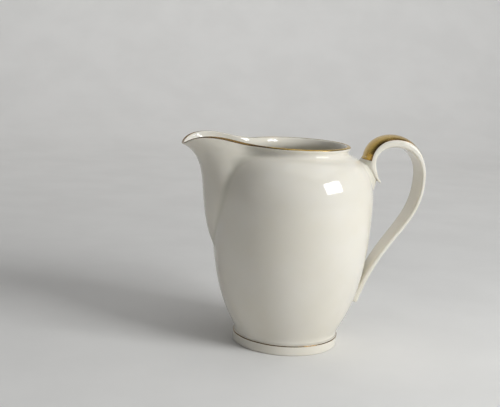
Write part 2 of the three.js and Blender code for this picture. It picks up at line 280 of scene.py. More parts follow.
@dataclass(frozen=True)
class IvoryGlaze:
    """Glossy ivory glaze over porcelain, bare under the foot, and darker in the hollows and creases: partly
    thicker pooled glaze, partly painted shade.
    """

    name: str = "ivory_glaze"
    ivory: Colour = (0.80, 0.765, 0.685, 1.0)
    cream: Colour = (0.775, 0.735, 0.64, 1.0)
    # Darker tone for the hollows and creases: pooled glaze and painted shade
    pooled_and_shaded: Colour = (0.60, 0.58, 0.49, 1.0)
    bisque: Colour = (0.70, 0.655, 0.57, 1.0)
    speck: Colour = (0.42, 0.36, 0.28, 1.0)
    cloud_mm: float = 34.0
    cloud_span: Point = (0.32, 0.68)
    mottle_mm: float = 5.0
    pool_and_shade_weight: float = 0.45
    pool_and_shade_mottle: float = 0.3
    ripple_mm: float = 9.0
    ripple_depth_mm: float = 0.012
    speck_cell_mm: float = 9.0
    speck_span: Point = (0.0066, 0.022)
    speck_weight: float = 0.5
    gloss: float = 0.055
    haze: float = 0.05
    bare_haze: float = 0.5
    bare_low_mm: float = 0.35
    bare_high_mm: float = 0.7

    def material(self) -> bpy.types.Material:
        """Make the material.

        Returns:
            The finished material.
        """
        graph = Graph(self.name)
        place = graph.place()
        cloud = graph.noise(place, self.cloud_mm, 3.0).within(*self.cloud_span)
        mottle = graph.noise(place, self.mottle_mm, 4.0)
        tone = graph.mix(cloud, self.ivory, self.cream)
        # Painted shade with pooled glaze: the hollows' mark darkens the tone
        pool_and_shade = graph.mark(Mark.POOL_AND_SHADE) * (self.pool_and_shade_weight + self.pool_and_shade_mottle * mottle)
        tone = graph.mix(pool_and_shade, tone, self.pooled_and_shaded)
        inputs = {"Vector": place, "Scale": 1.0 / (self.speck_cell_mm * MM)}
        cells = graph.node("ShaderNodeTexVoronoi", {"feature": "F1"}, inputs, "Distance")
        specks = 1.0 - cells.within(*self.speck_span)
        tone = graph.mix(specks * self.speck_weight, tone, self.speck)
        bare = 1.0 - graph.height().within(self.bare_low_mm * MM, self.bare_high_mm * MM)
        tone = graph.mix(bare, tone, self.bisque)
        ripple = graph.noise(place, self.ripple_mm, 1.0)
        return graph.surface(
            {
                "Base Color": tone,
                "Roughness": self.gloss + self.haze * mottle * mottle + self.bare_haze * bare,
                "IOR": 1.53,
                "Subsurface Weight": 0.12,
                "Subsurface Radius": (1.0, 0.85, 0.6),
                "Subsurface Scale": 0.0015,
                "Normal": graph.bump(ripple, self.ripple_depth_mm),
            }
        )


@dataclass(frozen=True)
class FiredGold:
    """A film of burnished gold on the glaze, rubbed in places and dark brown along its edges: partly where
    the film thins, partly painted dark reflection.
    """

    name: str = "fired_gold"
    gold: Colour = (0.66, 0.46, 0.13, 1.0)
    deep: Colour = (0.54, 0.355, 0.085, 1.0)
    # Dark brown of the edges: thinning film and painted dark reflection
    thin_film_and_dark_reflection: Colour = (0.20, 0.115, 0.045, 1.0)
    glaze: Colour = (0.78, 0.70, 0.56, 1.0)
    stroke_mm: float = 1.6
    stroke_depth_mm: float = 0.006
    patch_mm: float = 7.0
    patch_span: Point = (0.3, 0.7)
    rub_mm: float = 0.7
    rub_edge: Point = (0.8, 1.0)
    rub_weights: Triple = (0.22, 0.5, 0.45)
    rub_span: Point = (0.80, 0.92)
    dark_edge_grain: float = 0.25
    dark_edge_span: Point = (0.95, 1.1)
    gloss: float = 0.17
    haze: float = 0.16

    def material(self) -> bpy.types.Material:
        """Make the material.

        Returns:
            The finished material.
        """
        graph = Graph(self.name)
        place = graph.place()
        patch = graph.noise(place, self.patch_mm, 3.0)
        stroke = graph.noise(place, self.stroke_mm, 2.0)
        rub = graph.noise(place, self.rub_mm, 3.0)
        edge = graph.mark(Mark.EDGE)
        at_edge, finely, broadly = self.rub_weights
        worn = edge.within(*self.rub_edge) * at_edge + rub * finely + patch * broadly
        worn = worn.within(*self.rub_span)
        metal = graph.mix(patch.within(*self.patch_span), self.gold, self.deep)
        # Painted dark reflection with a thinning film: dark brown towards the edges
        metal = graph.mix((edge + self.dark_edge_grain * rub).within(*self.dark_edge_span), metal, self.thin_film_and_dark_reflection)
        return graph.surface(
            {
                "Base Color": graph.mix(worn, metal, self.glaze),
                "Metallic": 1.0 - worn,
                "Roughness": self.gloss + self.haze * stroke,
                "Normal": graph.bump(stroke, self.stroke_depth_mm),
            }
        )


@dataclass(frozen=True)
class StudioPaper:
    """The plain pale paper under and behind the jug."""

    name: str = "studio_paper"
    pale: Colour = (0.80, 0.79, 0.77, 1.0)
    shade: Colour = (0.77, 0.76, 0.74, 1.0)
    fibre_mm: float = 60.0
    fibre_span: Point = (0.3, 0.7)

    def material(self) -> bpy.types.Material:
        """Make the material.

        Returns:
            The finished material.
        """
        graph = Graph(self.name)
        fibre = graph.noise(graph.place(), self.fibre_mm, 4.0)
        return graph.surface(
            {
                "Base Color": graph.mix(fibre.within(*self.fibre_span), self.pale, self.shade),
                "Roughness": 0.9,
                "Specular IOR Level": 0.2,
            }
        )


# Curves and meshes


@dataclass(frozen=True)
class Bend:
    """A curve between two ends, whose handles reach by shares (out, up) of the span."""

    leave: Point
    arrive: Point
    steps: int

    def points(self, start: Point, end: Point) -> Numbers:
        """Lay points along the curve.

        Args:
            start: First end.
            end: Last end.

        Returns:
            The points, one row each.
        """
        first = np.array(start, float)
        last = np.array(end, float)
        span = last - first
        first_handle = first + span * self.leave
        last_handle = last - span * self.arrive
        t = np.linspace(0.0, 1.0, self.steps + 1)[:, None]
        s = 1.0 - t
        return s**3 * first + 3 * s**2 * t * first_handle + 3 * s * t**2 * last_handle + t**3 * last


def joined(*runs: Numbers) -> Numbers:
    """Join runs of points that share their ends."""
    return np.concatenate([runs[0], *(run[1:] for run in runs[1:])])


def arc(centre: Point, radius: float, start: float, end: float, count: int) -> Numbers:
    """Points of a round.

    Args:
        centre: Its middle.
        radius: Its radius.
        start: First angle, in degrees.
        end: Last angle, in degrees.
        count: Number of steps.

    Returns:
        The points, one row each.
    """
    turn = np.radians(np.linspace(start, end, count + 1))
    return np.stack([centre[0] + radius * np.cos(turn), centre[1] + radius * np.sin(turn)], axis=1)


def eased(stops: Iterable[Point], at: Numbers | float) -> Numbers:
    """Values between given (place, value) stops, eased from one stop to the next.

    Args:
        stops: The stops, in order of place.
        at: Places.

    Returns:
        The values.
    """
    places, values = np.array(list(stops), float).T
    step = np.clip(np.searchsorted(places, at) - 1, 0, len(places) - 2)
    share = np.clip((at - places[step]) / (places[step + 1] - places[step]), 0.0, 1.0)
    share = share * share * (3.0 - 2.0 * share)
    return values[step] + (values[step + 1] - values[step]) * share


def wavering(turn: Numbers, waves: Iterable[Triple]) -> Numbers:
    """How far a line drawn by hand strays on its way round, from (swing, count, start) waves."""
    return sum(swing * np.sin(count * turn + start) for swing, count, start in waves)


def step_lengths(path: Numbers) -> Numbers:
    """Lengths of a path's steps."""
    return np.linalg.norm(np.diff(path, axis=0), axis=1)


def directions(path: Numbers) -> Numbers:
    """Directions along a path's first axis, each of length 1."""
    along = np.gradient(path, axis=0)
    return along / np.linalg.norm(along, axis=-1, keepdims=True)


def square_to(along: Numbers) -> Numbers:
    """Directions a quarter turn to the left of the given ones."""
    return np.stack([-along[..., 1], along[..., 0]], axis=-1)


def spaced(path: Numbers, count: int) -> Numbers:
    """Lay points at equal distances along a path.

    Args:
        path: The path's points.
        count: Number of steps.

    Returns:
        The new points.
    """
    along = np.concatenate([[0.0], np.cumsum(step_lengths(path))])
    at = np.linspace(0.0, along[-1], count + 1)
    return np.stack([np.interp(at, along, path[:, i]) for i in range(path.shape[1])], axis=1)


def melted(first: Numbers, second: Numbers, soft: Numbers | float) -> tuple[Numbers, Numbers]:
    """Join two shapes with a soft crease.

    Args:
        first: Distances to one shape, negative inside.
        second: Distances to the other.
        soft: Width of the crease.

    Returns:
        Distances to both together, and how far they melt together, from 0 to 1.
    """
    share = np.maximum(soft - np.abs(first - second), 0.0) / soft
    return np.minimum(first, second) - share**2 * soft / 4.0, share


def film(path: Numbers) -> Numbers:
    """Make the closed outline of a gold line that lies on a path.

    Args:
        path: Points of (out, up) along the first axis, with any axes between.

    Returns:
        The outline: the upper face along the path, then the lower face back.
    """
    down = square_to(directions(path))
    return np.concatenate([path - down * FILM_PROUD, (path + down * FILM_SUNK)[::-1]])


def film_edges(path: Numbers, wear_and_dark_reflection: Numbers | float) -> Numbers:
    """How near a gold line's points are to its edges.

    Args:
        path: The path that it lies on.
        wear_and_dark_reflection: The least value, for all columns or at each; raising it makes the whole
            line rubbed and dark brown like its edges, for wear and painted dark reflection.

    Returns:
        Values from 0 to 1 along the line's outline, rows by columns.
    """
    edge = np.abs(np.linspace(-1.0, 1.0, len(path)))
    return np.maximum(np.concatenate([edge, edge])[:, None], wear_and_dark_reflection)


def turned(points: Numbers, turns: Numbers, axis: float) -> Numbers:
    """Set points about the jug's axis.

    Args:
        points: (distance, height) points, rows by columns or by one for all columns.
        turns: Turns of the columns from the handle, in radians.
        axis: The axis along X.

    Returns:
        Points in the jug's frame, rows by columns.
    """
    out, height, turn = np.broadcast_arrays(points[..., 0], points[..., 1], turns)
    return np.stack([axis + out * np.cos(turn), out * np.sin(turn), height], axis=-1)


class Skin:
    """A mesh over a grid of points in millimetres, closed around its columns."""

    def __init__(self, name: str, grid: Numbers) -> None:
        """Keep the grid.

        Args:
            name: The piece's name.
            grid: Points, rows by columns.
        """
        self.name = name
        self.grid = grid
        self.marks: dict[Mark, Numbers] = {}

    def _faces(self, looped: bool, capped: bool) -> list[tuple[int, ...]]:
        """Work out the faces between the grid's points.

        Args:
            looped: Join the last row to the first.
            capped: Close the first and the last row across.

        Returns:
            The faces, as places of their points in the grid.
        """
        rows, columns = self.grid.shape[:2]
        index = np.arange(rows * columns).reshape(rows, columns)
        following = np.roll(index, -1, axis=0) if looped else index[1:]
        first = index if looped else index[:-1]
        corners = [first, np.roll(first, -1, axis=1), np.roll(following, -1, axis=1), following]
        faces = [tuple(quad) for quad in np.stack(corners, axis=-1).reshape(-1, 4).tolist()]
        if capped:
            for row in (index[0].tolist(), index[-1].tolist()):
                for i in range(columns // 2 - 1):
                    faces.append((row[i], row[i + 1], row[columns - 2 - i], row[columns - 1 - i]))
        return faces

    def build(self, looped: bool = False, capped: bool = False) -> bpy.types.Object:
        """Make the object.

        Args:
            looped: Join the last row to the first.
            capped: Close the first and the last row across, for outlines that go out and back.

        Returns:
            The object, in metres, with smooth faces that point out.
        """
        mesh = bpy.data.meshes.new(self.name)
        mesh.from_pydata((self.grid.reshape(-1, 3) * MM).tolist(), [], self._faces(looped, capped))
        for mark, values in self.marks.items():
            layer = mesh.attributes.new(mark.value, "FLOAT", "POINT")
            spread = np.broadcast_to(values, self.grid.shape[:2])
            layer.data.foreach_set("value", spread.astype(np.float32).ravel())
        shape = bmesh.new()
        shape.from_mesh(mesh)
        bmesh.ops.remove_doubles(shape, verts=shape.verts, dist=WELD)
        bmesh.ops.recalc_face_normals(shape, faces=shape.faces)
        for face in shape.faces:
            face.smooth = True
        shape.to_mesh(mesh)
        shape.free()
        piece = bpy.data.objects.new(self.name, mesh)
        bpy.context.scene.collection.objects.link(piece)
        return piece


def settle(piece: bpy.types.Object, slot: Slot, material: bpy.types.Material, *nodes: str) -> None:
    """Give a piece its finish and its place among the frame's pieces.

    Args:
        piece: The new piece.
        slot: The record's material slot; not used.
        material: Its finish.
        nodes: The plain solids that it stands for.
    """
    piece.data.materials.append(material)
    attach(piece, RIDES_ON)
    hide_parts(*nodes)
    log.info("%s: %d faces, stands for %s", piece.name, len(piece.data.polygons), ", ".join(nodes))


# The jug


@dataclass
class Vessel:
    """The turned body, its beak and the handle's root, as one glazed wall. Millimetres and degrees."""

    axis: float
    belly_radius: float
    tip_out: float
    wall: float = 2.4
    lip_wall: float = 1.9
    thinning_height: float = 91.5
    edge: float = 1.1
    lip_edge: float = 0.55
    lip_edge_turn: float = 40.0
    base_height: float = 3.4
    base_radius: float = 24.2
    seat_height: float = 5.7
    floor: float = 3.2
    floor_corner: Point = (14.0, 7.0)
    corner_bend: Bend = Bend((0.11, 0.67), (0.56, 0.0), 12)
    waist: Point = (28.55, 7.0)
    belly_bend: Bend = Bend((0.01, 0.072), (0.0, 0.765), 90)
    belly_height: float = 79.0
    shoulder_bend: Bend = Bend((0.0, 0.57), (0.5, 0.08), 70)
    shoulder: Point = (31.0, 104.4)
    neck_bend: Bend = Bend((0.67, 0.22), (0.0, 0.44), 24)
    neck: Point = (28.3, 107.0)
    rim_bend: Bend = Bend((0.0, 0.33), (0.67, 0.33), 18)
    rim: Point = (29.55, 108.95)
    rim_height: float = 110.05
    beak_root: float = 53.7
    beak_bend: Bend = Bend((0.5, 0.2), (0.2, 0.5), 40)
    throat_height: float = 84.1
    throat_bulge: float = 5.9
    throat_bend: Bend = Bend((0.1, 0.58), (0.68, 0.17), 50)
    tip_height: float = 108.4
    front_overrun: Point = (12.0, 60.0)
    beak_fade: Point = (12.0, 8.0)
    beak_middle: float = 29.6
    beak_least: float = 1.0
    beak_halves: Triple = (11.2, 20.9, 16.5)
    crease: Triple = (1.0, 2.0, 9.0)
    crease_height: float = 96.5
    inner_crease: float = 9.0
    lip_start: float = 18.9
    lip_rise: Bend = Bend((0.5, 0.0), (0.33, 0.0), 40)
    lip_crest: Point = (48.7, 113.4)
    lip_fall: Bend = Bend((0.45, 0.0), (0.2, 0.65), 40)
    lifting_height: float = 89.5
    web_points: tuple[Point, ...] = (
        (-3.5, 83.7), (-0.4, 86.0), (0.9, 88.2), (2.4, 91.0), (3.0, 93.0), (3.0, 95.0),
        (3.0, 97.0), (2.4, 98.8), (0.8, 100.3), (-2.0, 101.6), (-6.0, 103.0),
    )
    web_halves: tuple[Point, ...] = ((84.7, 3.6), (92.7, 7.4), (103.0, 7.6))
    web_round: float = 2.4
    web_crease: float = 6.0
    gold_outside: tuple[Point, ...] = ((0.0, -8.0), (26.0, 14.0), (50.0, 27.0))
    gold_inside: tuple[Point, ...] = ((24.0, 95.0), (44.0, 112.0))
    gold_waves: tuple[Triple, ...] = ((3.0, 7.0, 0.0), (2.0, 17.0, 1.0))
    # Along the lip the whole gold line counts as edge, rubbed and dark brown: wear and painted dark
    # reflection
    gold_wear_and_dark_reflection: tuple[Point, ...] = ((45.0, 0.95), (85.0, 0.0))
    beak_crowd: Point = (2.2, 0.75)
    handle_crowd: Point = (3.0, 0.36)
    columns: int = 330
    rows: int = 130
    edge_rows: int = 10
    flat_rows: int = 5
    fine_turns: int = 4001
    halvings: int = 44

    @classmethod
    def from_frame(cls) -> "Vessel":
        """Take the axis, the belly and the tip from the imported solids.

        Returns:
            The vessel.
        """
        body_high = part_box("body")[1]
        tip_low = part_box("rim_gold_line")[0]
        radius = body_high.y / MM
        axis = body_high.x / MM - radius
        return cls(axis=axis, belly_radius=radius, tip_out=axis - tip_low.x / MM)

    @cached_property
    def outline(self) -> Numbers:
        """The body's outside from the waist to the rim, as (radius, height) points."""
        belly = (self.belly_radius, self.belly_height)
        return joined(
            self.belly_bend.points(self.waist, belly),
            self.shoulder_bend.points(belly, self.shoulder),
            self.neck_bend.points(self.shoulder, self.neck),
            self.rim_bend.points(self.neck, self.rim),
        )

    @cached_property
    def lining(self) -> Numbers:
        """The body's inside, square to the outside by the wall."""
        inside = self.outline + square_to(directions(self.outline)) * self.wall
        return inside[np.argsort(inside[:, 1])]

    @cached_property
    def front(self) -> Numbers:
        """The beak's front, as (distance, height) points, from under its root to past the tip."""
        root = (float(self.radius(Side.OUTSIDE, self.beak_root)), self.beak_root)
        throat = (self.belly_radius + self.throat_bulge, self.throat_height)
        tip = (self.tip_out, self.tip_height - self.lip_edge)
        line = joined(self.beak_bend.points(root, throat), self.throat_bend.points(throat, tip))
        below, beyond = self.front_overrun
        first = line[0] + (line[0] - line[1]) * below
        last = line[-1] + (line[-1] - line[-2]) * beyond
        return np.concatenate([[first], line, [last]])

    @cached_property
    def web_front(self) -> Numbers:
        """The front of the handle's root, as (distance, height) points that stand off the body."""
        off, height = np.array(self.web_points).T
        return np.stack([self.radius(Side.OUTSIDE, height) + off, height], axis=1)

    @cached_property
    def lip(self) -> Numbers:
        """The height of the rim and the lip against the distance towards the tip."""
        tip = (self.tip_out, self.tip_height)
        rise = self.lip_rise.points((self.lip_start, self.rim_height), self.lip_crest)
        return joined(rise, self.lip_fall.points(self.lip_crest, tip))

    def profile(self, side: Side) -> Numbers:
        """One face of the body without the beak, as (radius, height) points."""
        return self.outline if side is Side.OUTSIDE else self.lining

    def radius(self, side: Side, height: Numbers | float) -> Numbers:
        """The body's radius at a height, without the beak."""
        line = self.profile(side)
        return np.interp(height, line[:, 1], line[:, 0])

    def _to_beak(self, out: Numbers, across: Numbers, nose: Numbers, half: Numbers) -> Numbers:
        """Measure to the beak's section: half an ellipse ahead of its middle, straight sides behind.

        Args:
            out: Distances of the points towards the spout.
            across: Their distances from the jug's middle plane.
            nose: Distances of the beak's front.
            half: Half widths of the beak.

        Returns:
            Distances, negative inside the beak.
        """
        depth = nose - self.beak_middle
        ahead = np.maximum(out - self.beak_middle, 0.0)
        ratio = np.hypot(ahead / depth, across / half)
        slope = np.maximum(np.hypot(ahead / depth**2, across / half**2), LEAST)
        gap = np.where(out > self.beak_middle, ratio * (ratio - 1.0) / slope, across - half)
        return np.where(out < 0.0, np.hypot(out, across) - half, gap)

    def _to_web(self, out: Numbers, across: Numbers, height: Numbers) -> Numbers:
        """Measure to the web of clay that carries the handle's scroll.

        Args:
            out: Distances of the points towards the handle.
            across: Their distances from the jug's middle plane.
            height: Their heights.

        Returns:
            Distances, negative inside the web.
        """
        above = np.interp(height, self.web_front[:, 1], self.web_front[:, 0], left=0.0, right=0.0)
        past_front = out - above + self.web_round
        past_side = across - eased(self.web_halves, height) + self.web_round
        outside = np.hypot(np.maximum(past_front, 0.0), np.maximum(past_side, 0.0))
        gap = outside + np.minimum(np.maximum(past_front, past_side), 0.0) - self.web_round
        return np.where(out > 0.0, gap, self.tip_out)

    def reach(self, side: Side, height: Numbers, turn: Numbers) -> tuple[Numbers, Numbers]:
        """Find the wall along rays from the axis.

        Args:
            side: The face of the wall.
            height: Heights of the rays.
            turn: Their turns from the spout, in radians.

        Returns:
            Distances from the axis, and how far the shapes melt together there, from 0 to 1.
        """
        height, turn = np.broadcast_arrays(height, turn)
        inset = 0.0
        soft = eased(zip((self.beak_root, self.crease_height, self.neck[1]), self.crease), height)
        if side is Side.INSIDE:
            inset = eased([(self.thinning_height, self.wall), (self.tip_height, self.lip_wall)], height)
            soft = np.full(height.shape, self.inner_crease)
        half = eased(zip((self.beak_root, self.throat_height, self.neck[1]), self.beak_halves), height)
        half = half - inset
        nose = np.interp(height, self.front[:, 1], self.front[:, 0]) - inset
        nose = np.maximum(nose, self.beak_middle + self.beak_least)
        fade = zip((self.beak_root - drop for drop in self.beak_fade), (self.tip_out, 0.0))
        no_beak = eased(fade, height)
        body = self.radius(side, height)
        low = np.zeros(height.shape)
        high = np.full(height.shape, 2.0 * self.tip_out)
        for _ in range(self.halvings):
            middle = (low + high) / 2.0
            out = middle * np.cos(turn)
            across = middle * np.abs(np.sin(turn))
            gap, melt = melted(middle - body, self._to_beak(out, across, nose, half) + no_beak, soft)
            if side is Side.OUTSIDE:
                gap, web_melt = melted(gap, self._to_web(-out, across, height), self.web_crease)
                melt = np.maximum(melt, web_melt)
            low = np.where(gap < 0.0, middle, low)
            high = np.where(gap < 0.0, high, middle)
        return (low + high) / 2.0, melt

    @cached_property
    def turns(self) -> Numbers:
        """Turns of the columns from the spout, in radians, closer together at the beak and at the handle."""
        fine = np.linspace(-math.pi, math.pi, self.fine_turns)
        beak, beak_width = self.beak_crowd
        handle, handle_width = self.handle_crowd
        crowd = 1.0 + beak * np.exp(-((fine / beak_width) ** 2))
        crowd += handle * np.exp(-(((math.pi - np.abs(fine)) / handle_width) ** 4))
        along = np.concatenate([[0.0], np.cumsum((crowd[1:] + crowd[:-1]) / 2.0)])
        share = (np.arange(self.columns) + 0.5) / self.columns
        return np.interp(share * along[-1], along, fine)

    @cached_property
    def edges(self) -> Numbers:
        """Height of the rounded edge at each column, lower on the lip."""
        stops = [(0.0, self.lip_edge), (math.radians(self.lip_edge_turn), self.edge)]
        return eased(stops, np.abs(self.turns))

    @cached_property
    def tops(self) -> Numbers:
        """Height of the wall under its rounded edge at each column."""
        low = np.full(self.columns, self.neck[1])
        high = np.full(self.columns, self.lip_crest[1] + self.wall)
        for _ in range(self.halvings):
            middle = (low + high) / 2.0
            reach, _melt = self.reach(Side.OUTSIDE, middle, self.turns)
            line = np.interp(reach * np.cos(self.turns), self.lip[:, 0], self.lip[:, 1]) - self.edges
            low = np.where(middle < line, middle, low)
            high = np.where(middle < line, high, middle)
        return (low + high) / 2.0

    def face(self, side: Side, lowest: float) -> tuple[Numbers, Numbers]:
        """Lay rows over a face of the wall, bent up to the lip near the top.

        Args:
            side: The face.
            lowest: Height of the lowest row.

        Returns:
            (distance, height) points, rows by columns, and how far the shapes melt together there.
        """
        line = self.profile(side)
        run = line[(line[:, 1] > lowest) & (line[:, 1] < self.rim[1])]
        path = np.concatenate([[(self.radius(side, lowest), lowest)], run, [self.rim]])
        level = spaced(path, self.rows)[:, 1:]
        lift = eased([(self.lifting_height, 0.0), (self.rim[1], 1.0)], level)
        height = level + lift * (self.tops - self.rim[1])
        reach, melt = self.reach(side, height, self.turns)
        return np.stack([reach, height], axis=-1), melt

    def over_edge(self, low: Numbers | float, high: Numbers | float) -> Numbers:
        """Lay a path over the rounded edge, in turns from its outside to its inside.

        Args:
            low: Turn where the path starts, in degrees, at each column.
            high: Turn where it ends.

        Returns:
            (distance, height) points, rows by columns.
        """
        outer, _melt = self.reach(Side.OUTSIDE, self.tops, self.turns)
        inner, _melt = self.reach(Side.INSIDE, self.tops, self.turns)
        share = np.linspace(0.0, 1.0, self.edge_rows + 1)[:, None]
        turn = np.radians(low + (high - low) * share)
        out = (outer + inner) / 2.0 + (outer - inner) / 2.0 * np.cos(turn)
        return np.stack([out, self.tops + self.edges * np.sin(turn)], axis=-1)

    def _set_round(self, points: Numbers) -> Numbers:
        """Set (distance, height) points about the axis at the wall's columns."""
        return turned(points, math.pi - self.turns, self.axis)

    def build(self) -> bpy.types.Object:
        """Make the wall from under the base, over the rim, down to the floor inside.

        Returns:
            The wall.
        """
        base = np.array([(0.0, self.base_height), (self.base_radius, self.base_height)])
        seat = [(self.base_radius, self.seat_height), (self.waist[0], self.seat_height)]
        under = np.concatenate([spaced(base, self.flat_rows), seat])
        outer, melt = self.face(Side.OUTSIDE, self.waist[1])
        edge = self.over_edge(0.0, 180.0)[1:-1]
        corner_width, corner_rise = self.floor_corner
        floor_top = self.base_height + self.floor
        inner = self.face(Side.INSIDE, floor_top + corner_rise)[0][::-1]
        corner_start = (float(inner[-1, :, 0].mean()), floor_top + corner_rise)
        corner_end = (corner_start[0] - corner_width, floor_top)
        corner = self.corner_bend.points(corner_start, corner_end)
        floor = joined(corner, spaced(np.array([corner_end, (0.0, floor_top)]), self.flat_rows))
        parts = (under[:, None], outer, edge, inner, floor[1:, None])
        skin = Skin("glazed_wall", np.concatenate([self._set_round(part) for part in parts]))
        # Pooled glaze and painted shade in the creases where the beak and the handle's root melt into the
        # body
        pool_and_shade = np.zeros(skin.grid.shape[:2])
        pool_and_shade[len(under) : len(under) + len(outer)] = melt
        skin.marks[Mark.POOL_AND_SHADE] = pool_and_shade
        return skin.build()

    def gild(self) -> bpy.types.Object:
        """Make the gold line over the rim, which narrows along the lip.

        Returns:
            The film.
        """
        away = np.degrees(np.abs(self.turns))
        stray = wavering(self.turns, self.gold_waves)
        path = self.over_edge(eased(self.gold_outside, away) + stray, eased(self.gold_inside, away) + stray)
        skin = Skin("rim_gilding", self._set_round(film(path)))
        # Wear and painted dark reflection: the edge mark browns and rubs the line
        skin.marks[Mark.EDGE] = film_edges(path, eased(self.gold_wear_and_dark_reflection, away))
        return skin.build(looped=True)


@dataclass
class Foot:
    """The turned foot ring with its line. Millimetres and degrees."""

    vessel: Vessel
    widest: float
    stand: float = 28.75
    inside: float = 24.8
    round: float = 0.6
    round_steps: int = 8
    side_bend: Bend = Bend((0.15, 0.33), (0.25, 0.33), 12)
    inside_bend: Bend = Bend((0.0, 0.5), (0.9, 0.0), 12)
    ledge_height: float = 5.15
    ledge_round: float = 0.36
    hollow_height: float = 0.45
    hollow_gap: float = 0.05
    hollow_bend: Bend = Bend((0.1, 0.75), (0.75, 0.05), 10)
    tuck: float = 1.0
    tuck_rise: float = 1.6
    base_lap: float = 1.4
    base_gap: float = 0.04
    gold_turns: Point = (-14.0, 66.0)
    gold_waves: tuple[Triple, ...] = ((4.0, 5.0, 0.4), (3.0, 13.0, 0.0))
    # The whole foot line counts as edge, rubbed and dark brown: wear and painted dark reflection
    gold_wear_and_dark_reflection: float = 0.95
    gold_rows: int = 8
    columns: int = 224

    @classmethod
    def from_frame(cls, vessel: Vessel) -> "Foot":
        """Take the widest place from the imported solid."""
        return cls(vessel=vessel, widest=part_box("foot_ring")[1].y / MM)

    @cached_property
    def turns(self) -> Numbers:
        """Turns of the columns from the handle, in radians."""
        return np.linspace(0.0, 2.0 * math.pi, self.columns, endpoint=False)

    @cached_property
    def ledge(self) -> Point:
        """Middle of the rounding along the ring's upper edge."""
        return (self.widest - self.ledge_round, self.ledge_height)

    def build(self) -> bpy.types.Object:
        """Make the ring.

        Returns:
            The ring.
        """
        base = self.vessel.base_height
        hidden = self.vessel.waist[0] - self.tuck
        ledge_top = self.ledge_height + self.ledge_round
        hollow_top = ledge_top + self.hollow_height
        hollow_start = (self.vessel.waist[0] + self.hollow_gap, hollow_top)
        base_edge = (self.vessel.base_radius - self.base_lap, base - self.base_gap)
        outline = joined(
            np.array([(hidden, base + self.tuck_rise), (hidden, hollow_top), hollow_start]),
            self.hollow_bend.points(hollow_start, (self.ledge[0], ledge_top)),
            arc(self.ledge, self.ledge_round, 90.0, 0.0, self.round_steps),
            self.side_bend.points((self.widest, self.ledge_height), (self.stand, self.round)),
            arc((self.stand - self.round, self.round), self.round, 0.0, -90.0, self.round_steps),
            arc((self.inside + self.round, self.round), self.round, -90.0, -180.0, self.round_steps),
            self.inside_bend.points((self.inside, self.round), base_edge),
            np.array([base_edge, (self.inside, base + self.tuck_rise)]),
        )
        skin = Skin("foot_ring_glazed", turned(outline[:, None], self.turns, self.vessel.axis))
        # Pooled glaze and painted shade in the hollow above the ledge
        skin.marks[Mark.POOL_AND_SHADE] = np.interp(outline[:, 1:], [ledge_top, hollow_top], [0.0, 1.0])
        return skin.build(looped=True)

    def gild(self) -> bpy.types.Object:
        """Make the gold line along the ring's upper edge.

        Returns:
            The film.
        """
        stray = wavering(self.turns, self.gold_waves)
        low, high = (np.radians(turn + stray) for turn in self.gold_turns)
        angle = low + (high - low) * np.linspace(0.0, 1.0, self.gold_rows + 1)[:, None]
        path = np.array(self.ledge) + self.ledge_round * np.stack([np.cos(angle), np.sin(angle)], axis=-1)
        skin = Skin("foot_gilding", turned(film(path), self.turns, self.vessel.axis))
        # Wear and painted dark reflection: the edge mark browns and rubs the line
        skin.marks[Mark.EDGE] = film_edges(path, self.gold_wear_and_dark_reflection)
        return skin.build(looped=True)


